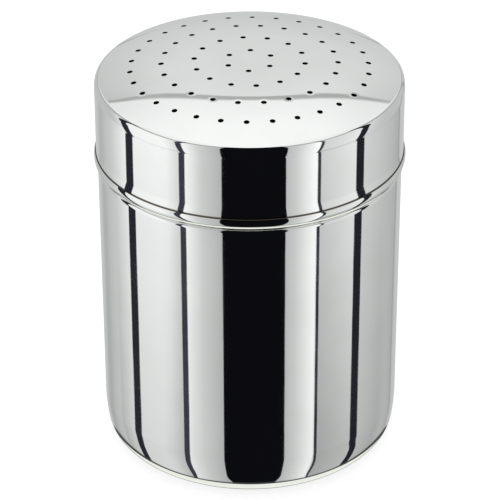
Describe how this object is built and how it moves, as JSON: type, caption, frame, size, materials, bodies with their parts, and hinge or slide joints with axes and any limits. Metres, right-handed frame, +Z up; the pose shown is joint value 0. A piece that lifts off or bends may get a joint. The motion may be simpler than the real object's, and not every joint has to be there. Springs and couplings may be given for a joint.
{
  "type": "spice shaker",
  "caption": "Round stainless steel spice shaker: a drawn cup with a push-on lid, whose domed top has rings of small holes for sprinkling ground spice, salt or sugar.",
  "frame": {"origin": "centre of the flat ring that the cup stands on", "axes": "+Z up along the shaker's axis, from the base to the lid; X and Y are free about it"},
  "size_m": [0.0712, 0.0712, 0.095],
  "materials": {
    "cup_steel": "mirror-polished stainless steel",
    "lid_steel": "mirror-polished stainless steel"
  },
  "bodies": {
    "cup": {"cup": "cup_steel"},
    "lid": {"lid": "lid_steel"}
  },
  "joints": [
    {"name": "lid_lift", "type": "slide", "parent": "cup", "child": "lid", "axis": [0, 0, 1], "range_m": [0, 0.03]}
  ]
}
